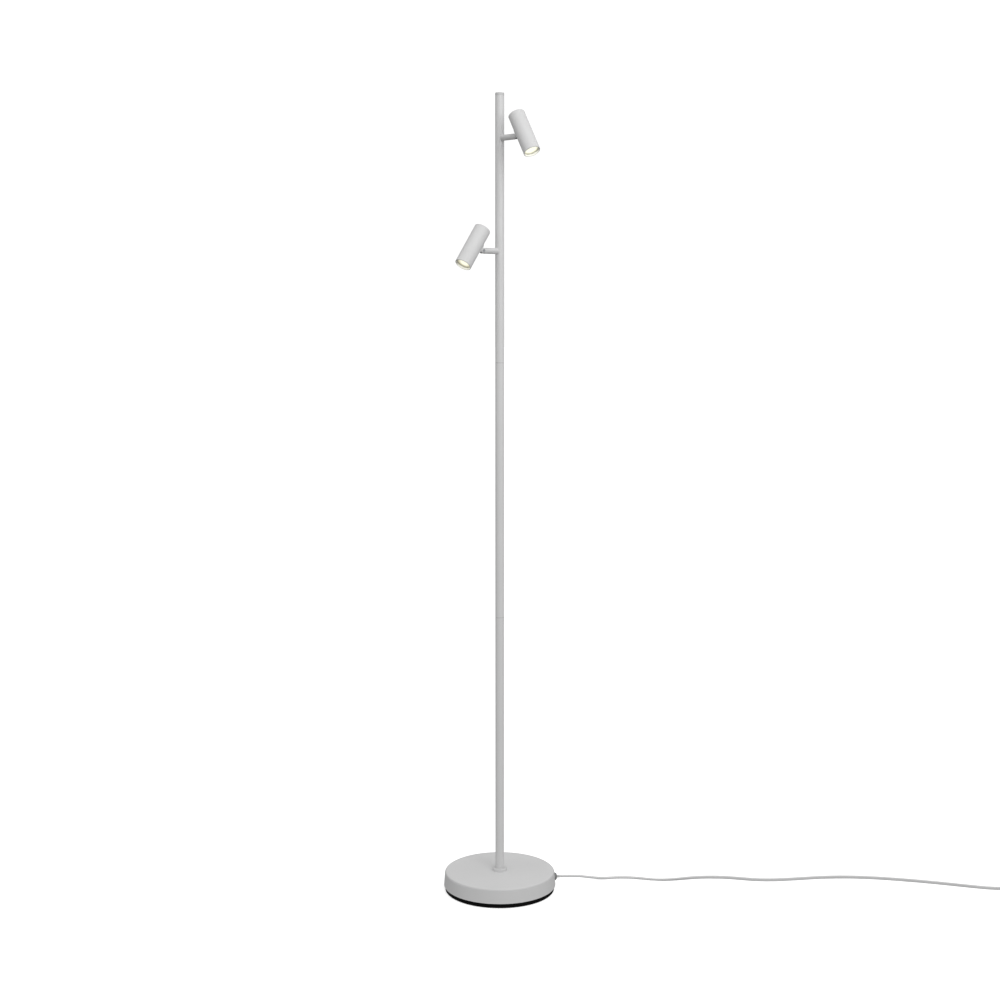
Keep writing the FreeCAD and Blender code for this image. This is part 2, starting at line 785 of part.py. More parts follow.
def tongue(side):
    """Blade with its eye on the pivot, ending in a saddle that seats on the shell."""
    body = new_body(side + "_tongue", HEAD_FRAME.replace("SIDE", side))
    eye = new_sketch(body, "XZ_Plane")
    draw_circle(eye, "-head_offset", "0", "eye_radius")
    pad(body, eye, "blade_thickness")
    neck = new_sketch(body, "XZ_Plane")
    draw_outline(neck, box_corners(
        "-head_offset", "-neck_width / 2", "-saddle_back + 1", "neck_width / 2"))
    pad(body, neck, "blade_thickness")
    saddle = new_sketch(body, "XZ_Plane")
    draw_outline(saddle, box_corners(
        "-saddle_back", "-saddle_length / 2", "-head_bore", "saddle_length / 2"))
    pad(body, saddle, "saddle_width")
    corner_reach = measure("saddle_length") / 2

    def saddle_corner(edge):
        if edge.Curve.TypeId != "Part::GeomLine":
            return False
        run = edge.Vertexes[-1].Point - edge.Vertexes[0].Point
        at_corner = abs(abs(edge.Vertexes[0].Point.z) - corner_reach) < 0.001
        return at_corner and abs(run.x) > 0.9 * run.Length

    dress(body, "Fillet", "Radius", "saddle_round", saddle_corner)
    seat = new_sketch(body, "XY_Plane")
    draw_circle(seat, "0", "0", "head_radius + seat_gap")
    pocket(body, seat, "2 * saddle_length")
    pin_bore = new_sketch(body, "XZ_Plane")
    draw_circle(pin_bore, "-head_offset", "0", "pivot_hole")
    pocket(body, pin_bore, "2 * blade_thickness")
    screw_bores = new_sketch(body, "YZ_Plane")
    for sign in ("-", ""):
        draw_circle(screw_bores, "0", sign + "saddle_screw_spread", "saddle_screw_radius + fit")
    pocket(body, screw_bores, "head_bore + saddle_screw_grip + fit", both_ways=False)


def tongue_screws(side):
    body = new_body(side + "_tongue_screws", HEAD_FRAME.replace("SIDE", side))
    for sign in ("-", ""):
        turn(body, [
            ("-head_bore - saddle_screw_grip", "0"),
            ("-head_bore - saddle_screw_grip", "saddle_screw_radius"),
            ("-head_bore + saddle_screw_lift", "saddle_screw_radius"),
            ("-head_bore + saddle_screw_lift", "saddle_screw_head"),
            ("-head_bore + saddle_screw_lift + saddle_screw_rise", "saddle_screw_head"),
            ("-head_bore + saddle_screw_lift + saddle_screw_rise", "0"),
        ], axis="H_Axis", offset="placement(vector(0; %ssaddle_screw_spread; 0); rotationz(0))" % sign)


# Spot head


def shell(side):
    body = new_body(side + "_shell", HEAD_FRAME.replace("SIDE", side))
    turn(body, ring_corners("head_bore", "mouth", "head_radius", "cap_seam"))
    round_rim(body, "head_radius", "mouth", "mouth_round")
    screw_holes = new_sketch(body, "YZ_Plane")
    for sign in ("-", ""):
        draw_circle(screw_holes, "0", sign + "saddle_screw_spread", "saddle_screw_radius + fit")
    pocket(body, screw_holes, "head_radius + head_wall", both_ways=False)


def rear_cap(side):
    body = new_body(side + "_rear_cap", HEAD_FRAME.replace("SIDE", side))
    spigot_end = "cap_seam - spigot_depth"
    turn(body, [
        ("0", "cap_seam"),
        ("bore_fit - spigot_wall", "cap_seam"),
        ("bore_fit - spigot_wall", spigot_end),
        ("bore_fit", spigot_end),
        ("bore_fit", "cap_seam"),
        ("head_radius", "cap_seam"),
        ("head_radius", "head_back"),
        ("0", "head_back"),
    ])
    round_rim(body, "head_radius", "head_back", "rear_cap_round")


def heat_sink(side):
    body = new_body(side + "_heat_sink", HEAD_FRAME.replace("SIDE", side))
    turn(body, [
        ("0", "sink_front"),
        ("bore_fit", "sink_front"),
        ("bore_fit", "sink_shoulder"),
        ("sink_core", "sink_shoulder"),
        ("sink_core", "sink_back"),
        ("0", "sink_back"),
    ])
    blade = new_sketch(body, "XZ_Plane")
    draw_outline(blade, box_corners("sink_core - 1", "sink_shoulder - 1", "fin_radius", "sink_back"))
    fin = pad(body, blade, "fin_thickness")
    repeat_round(body, [fin], 8)


def led_board(side):
    body = new_body(side + "_led_board", HEAD_FRAME.replace("SIDE", side))
    turn(body, [
        ("0", "sink_front"),
        ("board_radius", "sink_front"),
        ("board_radius", "board_front"),
        ("chip_radius", "board_front"),
        ("chip_radius", "board_front - chip_height"),
        ("0", "board_front - chip_height"),
    ])


def reflector(side):
    body = new_body(side + "_reflector", HEAD_FRAME.replace("SIDE", side))
    turn(body, [
        ("cup_throat", "board_front"),
        ("cup_throat + cup_wall", "board_front"),
        ("cup_mouth + cup_wall", "lens_back + cup_wall"),
        ("bore_fit", "lens_back + cup_wall"),
        ("bore_fit", "lens_back"),
        ("cup_mouth", "lens_back"),
    ])


def lens(side):
    body = new_body(side + "_lens", HEAD_FRAME.replace("SIDE", side))
    turn(body, box_corners("0", "lens_back", "bore_fit", "lens_front"))


def lens_ring(side):
    body = new_body(side + "_lens_ring", HEAD_FRAME.replace("SIDE", side))
    ring_front = "lens_front - lens_ring_height"
    turn(body, ring_corners("bore_fit - lens_ring_width", "lens_front", "bore_fit", ring_front))


# Foot switch and plug


def switch_base():
    body = new_body("switch_base", SWITCH_FRAME)
    turn(body, [
        ("0", "0"),
        ("switch_radius - switch_bevel", "0"),
        ("switch_radius", "switch_bevel"),
        ("switch_radius", "switch_split"),
        ("switch_inner", "switch_split"),
        ("switch_inner", "switch_floor"),
        ("0", "switch_floor"),
    ])
    for sign in ("-", ""):
        turn(body, [
            (sign + "(switch_radius - nozzle_root)", "0"),
            (sign + "(switch_radius - nozzle_root)", "nozzle_radius"),
            (sign + "nozzle_end", "nozzle_tip_radius"),
            (sign + "nozzle_end", "0"),
        ], axis="H_Axis", offset="placement(vector(0; switch_cord_height; 0); rotationz(0))")


def switch_cover():
    body = new_body("switch_cover", SWITCH_FRAME)
    lid_edge = "switch_radius - switch_shoulder"
    turn(body, [
        ("switch_inner", "switch_split"),
        ("switch_radius", "switch_split"),
        (lid_edge, "switch_height"),
        ("button_hole", "switch_height"),
        ("button_hole", "switch_height - switch_wall"),
        (lid_edge + " - switch_wall", "switch_height - switch_wall"),
    ])
    round_rim(body, lid_edge, "switch_height", "switch_edge_round")


def switch_button():
    body = new_body("switch_button", SWITCH_FRAME)
    button_top = "switch_height + button_rise"
    turn(body, [
        ("0", "flange_bottom"),
        ("flange_radius", "flange_bottom"),
        ("flange_radius", "flange_top"),
        ("button_radius", "flange_top"),
        ("button_radius", button_top),
        ("0", button_top),
    ])
    round_rim(body, "button_radius", button_top, "button_round")


def plug_body():
    """Flat two-pin plug, waisted for the fingers, with a tapered cord nozzle."""
    body = new_body("plug_body", PLUG_FRAME)
    half = [
        ("0", "plug_rear_width / 2"),
        ("plug_waist", "plug_waist_width / 2"),
        ("plug_shoulder", "plug_width / 2"),
        ("plug_length", "plug_width / 2"),
    ]
    sketch = new_sketch(body, "XY_Plane")
    draw_outline(sketch, [(x, "-" + y) for x, y in half] + half[::-1])
    pad(body, sketch, "plug_thickness")
    round_corners(body, Vector(0, 0, 1), "plug_round")
    turn(body, [
        ("-plug_nozzle", "0"),
        ("-plug_nozzle", "nozzle_tip_radius"),
        ("nozzle_root", "nozzle_radius"),
        ("nozzle_root", "0"),
    ], axis="H_Axis")


def plug_pins():
    body = new_body("plug_pins", PLUG_FRAME)
    tip = "plug_length + pin_length"
    for sign in ("-", ""):
        beside = "placement(vector(0; %spin_spread; 0); rotationz(0))" % sign
        turn(body, [
            ("plug_length", "0"),
            ("plug_length", "pin_radius"),
            (tip + " - pin_bevel", "pin_radius"),
            (tip, "pin_radius - pin_bevel"),
            (tip, "0"),
        ], role="XY_Plane", axis="H_Axis", offset=beside)


# Cords and leads: straight runs joined by tangent arcs, swept with a round section


def in_frame(frame, x, y, z):
    """A point given by formulas in a frame, in the lamp's frame."""
    return sheet.evalExpression(bound(frame)).multVec(Vector(measure(x), measure(y), measure(z)))


def bent_path(label, points):
    """Runs through the points, with each corner rounded as widely as its runs allow."""
    edges = []
    radii = []
    start = points[0]
    for before, corner, after in zip(points, points[1:], points[2:]):
        back = before - corner
        ahead = after - corner
        turn_angle = math.pi - back.getAngle(ahead)
        reach = 0.45 * min(back.Length, ahead.Length)
        radius = reach / math.tan(turn_angle / 2)
        back.normalize()
        ahead.normalize()
        inward = (back + ahead).normalize()
        arrive = corner + back * reach
        leave = corner + ahead * reach
        middle = corner + inward * (radius / math.cos(turn_angle / 2) - radius)
        edges.append(Part.LineSegment(start, arrive).toShape())
        edges.append(Part.Arc(arrive, middle, leave).toShape())
        radii.append(radius)
        start = leave
    edges.append(Part.LineSegment(start, points[-1]).toShape())
    print(label, "radii", " ".join("%.0f" % radius for radius in radii))
    return edges


def add_tube(label, edges, diameter):
    """Sweep a round section along the edges and compare its volume with its length."""
    wire = Part.Wire(edges)
    begin = edges[0].Vertexes[0].Point
    heading = edges[0].tangentAt(edges[0].FirstParameter)
    section = Part.Wire(Part.Circle(begin, heading, diameter / 2).toShape())
    feature = doc.addObject("Part::Feature", label)
    feature.Shape = wire.makePipeShell([section], True, False)
    feature.Placement = FreeCAD.Placement()
    ratio = feature.Shape.Volume / (math.pi * diameter ** 2 / 4 * wire.Length)
    print("%s length %.1f, volume over section times length %.5f" % (label, wire.Length, ratio))
    pieces.append(feature)


def head_lead(side, sideways):
    """Lead from the driver, down through the weight, up the pole and into its arm."""
    frame = ARM_FRAME.replace("SIDE", side)
    lead_level = "weight_bottom + channel_height / 2"
    entry = [
        in_frame(CORD_FRAME, "driver_start", sideways, "weight_top + driver_height / 2"),
        in_frame(CORD_FRAME, "lead_drop", sideways, "weight_top + driver_height / 2"),
        in_frame(CORD_FRAME, "lead_drop", sideways, lead_level),
        in_frame(CORD_FRAME, "0", sideways, lead_level),
    ]
    below_arm = in_frame(CORD_FRAME, "0", sideways, side + "_arm_height - pole_bore + lead_spread")
    inside_arm = [
        in_frame(frame, "lead_turn", "0", "0"),
        in_frame(frame, "shank_start - slot_gap", "0", "0"),
    ]
    edges = bent_path(side + "_lead", entry + [below_arm] + inside_arm)
    add_tube(side + "_lead", edges, measure("lead_diameter"))


def mains_tail():
    start = in_frame(CORD_FRAME, "driver_end", "0", "gland_height")
    end = in_frame(CORD_FRAME, "gland_nose", "0", "gland_height")
    add_tube("mains_tail", [Part.LineSegment(start, end).toShape()], measure("cord_diameter"))


# The mains cord's chosen points between its straight exit and the foot switch. It drops
# to the floor beside the base and lies there in a slow uneven wave.
CORD_POINTS = [
    (150.0, 26.5, 14.6),
    (171.0, 38.0, 8.0),
    (194.0, 47.0, 3.4),
    (221.0, 51.5, 2.75),
    (248.0, 51.0, 2.75),
    (271.0, 45.5, 2.75),
    (291.0, 40.0, 2.75),
    (314.0, 38.2, 2.75),
    (340.0, 43.0, 2.75),
    (367.0, 50.0, 2.75),
    (398.0, 53.0, 2.75),
    (432.0, 50.5, 2.75),
    (460.0, 43.5, 2.75),
    (485.0, 38.2, 2.75),
    (518.0, 37.0, 2.75),
    (560.0, 43.0, 2.75),
    (612.0, 52.0, 2.75),
    (672.0, 53.5, 2.75),
    (730.0, 45.0, 2.75),
    (786.0, 32.0, 2.75),
    (838.0, 17.0, 2.75),
    (884.0, 2.0, 2.75),
    (916.0, -6.5, 2.75),
    (940.0, -9.6, 3.4),
]


def mains_cord():
    start = in_frame(CORD_FRAME, "gland_nose", "0", "gland_height")
    straight = in_frame(CORD_FRAME, "gland_nose + 20", "0", "gland_height")
    approach = in_frame(SWITCH_FRAME, "-nozzle_end - 10", "0", "switch_cord_height")
    end = in_frame(SWITCH_FRAME, "-nozzle_end", "0", "switch_cord_height")
    points = [start, straight] + [Vector(*point) for point in CORD_POINTS] + [approach, end]
    add_tube("mains_cord", bent_path("mains_cord", points), measure("cord_diameter"))


def coil_start():
    """Where the coil's tube begins, one diameter before its first turn."""
    return Vector(measure("coil_x - cord_diameter"), measure("switch_y"), measure("floor_level"))


def coil_end():
    """Where the coil's tube ends, one diameter after its last turn, on the upper layer."""
    level = measure("floor_level + coil_pitch")
    return Vector(measure("coil_x - cord_diameter"), measure("coil_y + coil_outer"), level)


def switch_lead():
    points = [
        in_frame(SWITCH_FRAME, "nozzle_end", "0", "switch_cord_height"),
        in_frame(SWITCH_FRAME, "nozzle_end + 9", "0", "switch_cord_height"),
        coil_start() - Vector(8, 0, 0),
        coil_start(),
    ]
    add_tube("switch_lead", bent_path("switch_lead", points), measure("cord_diameter"))


def half_turn(start, side, end):
    """Half a circle between two points, bulging to one side in X."""
    middle = (start + end) * 0.5 + Vector(side * (end - start).Length / 2, 0, 0)
    return Part.Arc(start, middle, end).toShape()


def least_gap(wire, diameter):
    """The least gap between turns of a tube along the wire, measured on points."""
    spots = wire.discretize(Number=900)
    skip = int(3 * diameter / (wire.Length / len(spots)))
    nearest = min(
        spots[first].distanceToPoint(spots[second])
        for first in range(len(spots))
        for second in range(first + skip, len(spots)))
    return nearest - diameter


def cord_coil():
    """Six and a half turns: three spiral in on the floor, one half turn climbs, the rest spiral out."""
    pitch = measure("coil_pitch")
    outer = measure("coil_outer")
    centre_x = measure("coil_x")
    low = measure("switch_y")
    level = coil_start().z
    spot = Vector(centre_x, low, level)
    edges = [Part.LineSegment(coil_start(), spot).toShape()]
    radii = [outer - number * pitch / 2 for number in range(7)]
    radii += [outer - number * pitch / 2 for number in range(5, -1, -1)]
    for number, radius in enumerate(radii):
        upward = number % 2 == 0
        rise = pitch if number == 6 else 0
        step = 2 * radius if upward else -2 * radius
        following = spot + Vector(0, step, rise)
        edges.append(half_turn(spot, 1 if upward else -1, following))
        spot = following
    edges.append(Part.LineSegment(spot, coil_end()).toShape())
    diameter = measure("cord_diameter")
    print("cord_coil least gap %.2f" % least_gap(Part.Wire(edges), diameter))
    add_tube("cord_coil", edges, diameter)


def plug_lead():
    plug_rear = in_frame(PLUG_FRAME, "-plug_nozzle", "0", "0")
    points = [
        coil_end(),
        coil_end() - Vector(9, 0, 0),
        plug_rear + Vector(8, 0, 0),
        plug_rear,
    ]
    add_tube("plug_lead", bent_path("plug_lead", points), measure("cord_diameter"))


def build():
    base_cover()
    base_weight()
    bottom_plate()
    foot_ring()
    base_screws()
    pole_nipple()
    nipple_nut()
    led_driver()
    cord_clamp()
    clamp_screws()
    cord_gland()
    pole_tube("lower_tube", "base_height", "lower_joint")
    pole_tube("middle_tube", "lower_joint", "upper_joint")
    upper_tube()
    inside_sleeve("foot_insert", "nipple_hole", "base_height", "base_height + insert_length")
    for joint in ("lower", "upper"):
        middle = joint + "_joint"
        inside_sleeve(joint + "_coupler", "coupler_bore",
                      middle + " - coupler_length / 2", middle + " + coupler_length / 2")
    pole_collar()
    pole_cap()
    for side in ("upper", "lower"):
        arm(side)
        arm_anchor(side)
        yoke(side)
        pivot_screw(side)
        friction_washers(side)
        tongue(side)
        tongue_screws(side)
        shell(side)
        rear_cap(side)
        heat_sink(side)
        led_board(side)
        reflector(side)
        lens(side)
        lens_ring(side)
    head_lead("upper", "lead_spread")
    head_lead("lower", "-lead_spread")
    switch_base()
    switch_cover()
    switch_button()
    plug_body()
    plug_pins()
    mains_tail()
    mains_cord()
    switch_lead()
    cord_coil()
    plug_lead()


def check_and_write():
    """Stop if anything failed, then write each piece to a file of its own name."""
    doc.recompute()
    for item in doc.Objects:
        if "Invalid" in item.State or "Error" in item.State:
            raise RuntimeError("%s failed: %s" % (item.Name, item.State))
    for piece in pieces:
        if piece.Shape.isNull() or not piece.Shape.isValid():
            raise RuntimeError("bad shape on " + piece.Label)
    os.makedirs("parts", exist_ok=True)
    for piece in pieces:
        piece.Shape.exportStep(os.path.join("parts", piece.Label + ".step"))
    print(len(pieces), "pieces written")


build()
check_and_write()
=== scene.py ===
import json
import math

import bmesh
import bpy
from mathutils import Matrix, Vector


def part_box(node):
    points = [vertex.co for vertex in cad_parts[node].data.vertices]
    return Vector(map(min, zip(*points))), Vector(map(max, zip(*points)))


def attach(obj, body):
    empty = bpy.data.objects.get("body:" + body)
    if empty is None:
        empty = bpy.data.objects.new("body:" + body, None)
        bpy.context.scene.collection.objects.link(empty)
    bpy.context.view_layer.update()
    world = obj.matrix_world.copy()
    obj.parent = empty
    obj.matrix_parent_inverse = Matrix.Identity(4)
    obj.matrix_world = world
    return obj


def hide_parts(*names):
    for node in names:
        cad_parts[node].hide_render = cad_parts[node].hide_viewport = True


# Looks of the floor lamp: a slim powder-coated pole on a round base with two lit spot heads,
# and a flat grey twin lead on the floor. Metres, in the frame of the CAD model: Z up from
# the floor under the pole, the front is -Y and the cord leaves towards +X.

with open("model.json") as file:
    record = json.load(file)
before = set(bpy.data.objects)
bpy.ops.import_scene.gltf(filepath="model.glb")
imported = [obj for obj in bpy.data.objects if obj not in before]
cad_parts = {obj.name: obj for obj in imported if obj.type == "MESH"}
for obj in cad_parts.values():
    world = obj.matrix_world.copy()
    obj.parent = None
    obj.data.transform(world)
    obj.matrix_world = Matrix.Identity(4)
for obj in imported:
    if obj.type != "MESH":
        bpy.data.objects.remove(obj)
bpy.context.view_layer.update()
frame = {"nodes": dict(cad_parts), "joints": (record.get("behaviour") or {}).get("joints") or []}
nodes = frame["nodes"]
SIDES = ("upper", "lower")
UP = Vector((0, 0, 1))
WHITE = (1, 1, 1, 1)


def add_object(name, data):
    """A new object in the scene that holds this data."""
    holder = bpy.data.objects.new(name, data)
    bpy.context.scene.collection.objects.link(holder)
    return holder


# Camera, fitted to the photograph. The focal length is in pixels of its width.

IMAGE_WIDTH = 1000
FOCAL_PIXELS = 1650.4
SENSOR_WIDTH_MM = 36.0
CAMERA_PLACE = (0.00056, -2.9592, 1.1121)
CAMERA_TILT_DOWN = 7.351


def add_camera():
    camera = bpy.data.cameras.new("camera")
    camera.sensor_width = SENSOR_WIDTH_MM
    camera.lens = FOCAL_PIXELS * SENSOR_WIDTH_MM / IMAGE_WIDTH
    holder = add_object("camera", camera)
    holder.location = CAMERA_PLACE
    holder.rotation_euler = (math.radians(90 - CAMERA_TILT_DOWN), 0, 0)
    bpy.context.scene.camera = holder


# Cord. The lead lies flat as it leaves the base and turns onto its edge further out. A
# level is the height of its middle above the floor. The twist's start and end are lengths
# along the lead.

CORD_WIDTH = 0.0060
CORD_THICKNESS = 0.0040
CORD_EXIT = (0.1065, 0.01308, 0.019)
FLOOR_GAP = 0.00005
FLAT_LEVEL = CORD_THICKNESS / 2 + 2 * FLOOR_GAP
EDGE_LEVEL = CORD_WIDTH / 2 + FLOOR_GAP
SWITCH_LEVEL = 0.0052
PLUG_LEVEL = 0.00685
TWIST_START = 0.15
TWIST_END = 0.30
STEPS_PER_CORE = 10
SPLINE_ORDER = 3
SPLINE_STEPS = 6

# The coil starts in line with the switch and is wound away from it.

SWITCH_Y = -0.010
COIL_X = 1.080
COIL_RADIUS = 0.0396
COIL_PITCH = 0.0059
COIL_CLIMB = CORD_WIDTH + 0.0002
COIL_FAR_Y = SWITCH_Y + 2 * COIL_RADIUS
COIL_TOP_LEVEL = EDGE_LEVEL + COIL_CLIMB
HALF_TURNS_IN = 7
POINTS_PER_HALF_TURN = 8

RELIEF_ROOT_RADIUS = 0.0049
RELIEF_TIP_RADIUS = 0.0037
RELIEF_GROOVES = 6
RELIEF_GROOVE_DEPTH = 0.0005
RELIEF_RINGS = 60
RELIEF_SIDES = 28
SWITCH_RELIEF_LENGTH = 0.020
PLUG_RELIEF_LENGTH = 0.022
PLUG_NOZZLE = 0.015

FREE_RUN = [
    CORD_EXIT,
    (0.12635, 0.01551, 0.019),
    (0.150, 0.0265, 0.0146),
    (0.171, 0.0380, 0.0080),
    (0.194, 0.0470, 0.0026),
    (0.221, 0.0535, FLAT_LEVEL),
    (0.248, 0.0530, FLAT_LEVEL),
    (0.271, 0.0465, 0.0025),
    (0.291, 0.0400, 0.0028),
    (0.314, 0.0382, 0.0030),
    (0.340, 0.0430, EDGE_LEVEL),
    (0.367, 0.0500, EDGE_LEVEL),
    (0.398, 0.0530, EDGE_LEVEL),
    (0.432, 0.0505, EDGE_LEVEL),
    (0.460, 0.0435, EDGE_LEVEL),
    (0.485, 0.0382, EDGE_LEVEL),
    (0.518, 0.0370, EDGE_LEVEL),
    (0.560, 0.0430, EDGE_LEVEL),
    (0.612, 0.0520, EDGE_LEVEL),
    (0.672, 0.0535, EDGE_LEVEL),
    (0.730, 0.0450, EDGE_LEVEL),
    (0.786, 0.0320, EDGE_LEVEL),
    (0.838, 0.0170, EDGE_LEVEL),
    (0.884, 0.0020, EDGE_LEVEL),
    (0.916, -0.0065, EDGE_LEVEL),
    (0.940, -0.0096, 0.0038),
    (0.955, SWITCH_Y, SWITCH_LEVEL),
    (0.965, SWITCH_Y, SWITCH_LEVEL),
    (1.043, SWITCH_Y, SWITCH_LEVEL),
    (1.052, SWITCH_Y, SWITCH_LEVEL),
    (1.0666, SWITCH_Y, EDGE_LEVEL),
    (1.0746, SWITCH_Y, EDGE_LEVEL),
]

PLUG_RUN = [
    (1.0746, COIL_FAR_Y, COIL_TOP_LEVEL),
    (1.0656, COIL_FAR_Y, COIL_TOP_LEVEL),
    (1.0530, COIL_FAR_Y, PLUG_LEVEL),
    (1.0450, COIL_FAR_Y, PLUG_LEVEL),
]


def coil_points():
    """Six and a half turns: in on the floor, one half turn that climbs, and out on top."""
    innermost = HALF_TURNS_IN - 1
    shrinks = [*range(HALF_TURNS_IN), *reversed(range(innermost))]
    step = math.pi / POINTS_PER_HALF_TURN
    points = []
    start_y = SWITCH_Y
    level = EDGE_LEVEL
    for number, shrink in enumerate(shrinks):
        radius = COIL_RADIUS - shrink * COIL_PITCH / 2
        reach = radius / math.cos(step / 2)
        outward = 1 if number % 2 == 0 else -1
        centre_y = start_y + outward * radius
        rise = COIL_CLIMB if number == innermost else 0
        for spot in range(POINTS_PER_HALF_TURN):
            share = (spot + 0.5) / POINTS_PER_HALF_TURN
            x = COIL_X + outward * reach * math.sin(math.pi * share)
            y = centre_y - outward * reach * math.cos(math.pi * share)
            points.append((x, y, level + rise * share))
        start_y = centre_y + outward * radius
        level += rise
    return points


def spline_line(points):
    """The points of a smooth NURBS line that has these as its control points."""
    curve = bpy.data.curves.new("lead_route", "CURVE")
    curve.dimensions = "3D"
    curve.resolution_u = SPLINE_STEPS
    spline = curve.splines.new("NURBS")
    spline.points.add(len(points) - 1)
    for spot, point in zip(spline.points, points):
        spot.co = (*point, 1)
    spline.order_u = SPLINE_ORDER
    spline.use_endpoint_u = True
    holder = bpy.data.objects.new("lead_route", curve)
    mesh = bpy.data.meshes.new_from_object(holder)
    line = [vertex.co.copy() for vertex in mesh.vertices]
    bpy.data.objects.remove(holder)
    bpy.data.curves.remove(curve)
    bpy.data.meshes.remove(mesh)
    return line


def tube(name, rings):
    """A closed tube through rings of points, all of the same count."""
    count = len(rings[0])
    vertices = [point for ring in rings for point in ring]
    last_ring = len(vertices) - count
    faces = []
    for ring in range(0, last_ring, count):
        for corner in range(count):
            here = ring + corner
            beside = ring + (corner + 1) % count
            faces.append((here, beside, beside + count, here + count))
    faces.append(tuple(reversed(range(count))))
    faces.append(tuple(range(last_ring, len(vertices))))
    mesh = bpy.data.meshes.new(name)
    mesh.from_pydata(vertices, [], faces)
    mesh.shade_smooth()
    return add_object(name, mesh)


def twin_section():
    """Outline of a flat twin lead, two round cores side by side, as (across, up)."""
    radius = CORD_THICKNESS / 2
    offset = CORD_WIDTH / 2 - radius
    meeting = math.acos(-offset / radius)
    outline = []
    for side in (1, -1):
        for number in range(STEPS_PER_CORE):
            angle = meeting - 2 * meeting * number / STEPS_PER_CORE
            across = offset + radius * math.cos(angle)
            outline.append((side * across, side * radius * math.sin(angle)))
    return outline


def smooth_share(value, low, high):
    """How far a value is from low to high, from 0 to 1, with a soft start and end."""
    share = min(max((value - low) / (high - low), 0), 1)
    return share * share * (3 - 2 * share)


def flat_lead(name, line):
    """Sweep the twin section along the line, turning it from flat onto its edge."""
    outline = twin_section()
    rings = []
    travelled = 0.0
    for number, spot in enumerate(line):
        before = line[max(number - 1, 0)]
        after = line[min(number + 1, len(line) - 1)]
        travelled += (spot - before).length
        along = (after - before).normalized()
        across = along.cross(UP).normalized()
        above = across.cross(along)
        roll = math.pi / 2 * smooth_share(travelled, TWIST_START, TWIST_END)
        wide = across * math.cos(roll) + above * math.sin(roll)
        thin = above * math.cos(roll) - across * math.sin(roll)
        rings.append([spot + wide * x + thin * y for x, y in outline])
    return tube(name, rings)


def strain_relief(name, wall, reach):
    """A tapered sleeve with rounded grooves that stands out of a housing's wall along X."""
    angles = [2 * math.pi * side / RELIEF_SIDES for side in range(RELIEF_SIDES)]
    rings = []
    for number in range(RELIEF_RINGS + 1):
        share = number / RELIEF_RINGS
        taper = RELIEF_ROOT_RADIUS + (RELIEF_TIP_RADIUS - RELIEF_ROOT_RADIUS) * share
        groove = (1 - math.cos(2 * math.pi * RELIEF_GROOVES * share)) / 2
        radius = taper - RELIEF_GROOVE_DEPTH * groove
        x, y, z = wall + Vector((reach * share, 0, 0))
        rings.append([(x, y + radius * math.cos(angle), z + radius * math.sin(angle)) for angle in angles])
    if reach < 0:
        rings.reverse()
    relief = tube(name, rings)
    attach(relief, "root")
    return relief


def strain_reliefs():
    """The sleeves on both sides of the foot switch and on the plug's nozzle."""
    low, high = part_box("switch_cover")
    middle = (low.y + high.y) / 2
    inlet = Vector((low.x, middle, SWITCH_LEVEL))
    outlet = Vector((high.x, middle, SWITCH_LEVEL))
    low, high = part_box("plug_body")
    rear = Vector((high.x - PLUG_NOZZLE, (low.y + high.y) / 2, (low.z + high.z) / 2))
    return [
        strain_relief("switch_inlet_relief", inlet, -SWITCH_RELIEF_LENGTH),
        strain_relief("switch_outlet_relief", outlet, SWITCH_RELIEF_LENGTH),
        strain_relief("plug_relief", rear, PLUG_RELIEF_LENGTH),
    ]


def add_cord():
    """The free lead from the base's gland through the switch and the coil to the plug."""
    line = spline_line(FREE_RUN + coil_points() + PLUG_RUN)
    lead = flat_lead("mains_lead", line)
    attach(lead, "root")
    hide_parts("mains_cord", "switch_lead", "cord_coil", "plug_lead")
    return lead


# Shader nodes

NOISE_RANGE = (0.3, 0.7)
ROUGHNESS_SPREAD = 0.05


def grey(value, warmth=0.0):
    return (value * (1 + warmth), value, value * (1 - warmth))


def place_in_frame(tree):
    """A coordinate in metres in the lamp's frame, which stays with a piece that moves."""
    return tree.nodes.new("ShaderNodeTexCoord").outputs["Object"]


def new_material(name):
    """A material with its node tree, its shader and its coordinate."""
    material = bpy.data.materials.new(name)
    material.use_nodes = True
    tree = material.node_tree
    return material, tree, tree.nodes["Principled BSDF"], place_in_frame(tree)


def split(tree, vector):
    """The X, Y and Z outputs of a vector."""
    parts = tree.nodes.new("ShaderNodeSeparateXYZ")
    tree.links.new(vector, parts.inputs["Vector"])
    return parts.outputs


def add_noise(tree, place, scale, detail=3.0):
    noise = tree.nodes.new("ShaderNodeTexNoise")
    noise.inputs["Scale"].default_value = scale
    noise.inputs["Detail"].default_value = detail
    tree.links.new(place, noise.inputs["Vector"])
    return noise.outputs["Fac"]


def mix_colours(tree, share, first, second):
    """The first colour where share is 0 and the second where it is 1."""
    mix = tree.nodes.new("ShaderNodeMix")
    mix.data_type = "RGBA"
    mix.inputs["A"].default_value = (*first, 1)
    mix.inputs["B"].default_value = (*second, 1)
    tree.links.new(share, mix.inputs["Factor"])
    return mix.outputs["Result"]


def stretch(tree, value, low, high, new_low=0.0, new_high=1.0):
    """Map a value's range onto another, held at both ends."""
    node = tree.nodes.new("ShaderNodeMapRange")
    node.inputs["From Min"].default_value = low
    node.inputs["From Max"].default_value = high
    node.inputs["To Min"].default_value = new_low
    node.inputs["To Max"].default_value = new_high
    tree.links.new(value, node.inputs["Value"])
    return node.outputs["Result"]


def combine(tree, operation, first, second):
    """One value out of two, by a mathematical operation."""
    node = tree.nodes.new("ShaderNodeMath")
    node.operation = operation
    tree.links.new(first, node.inputs[0])
    tree.links.new(second, node.inputs[1])
    return node.outputs["Value"]


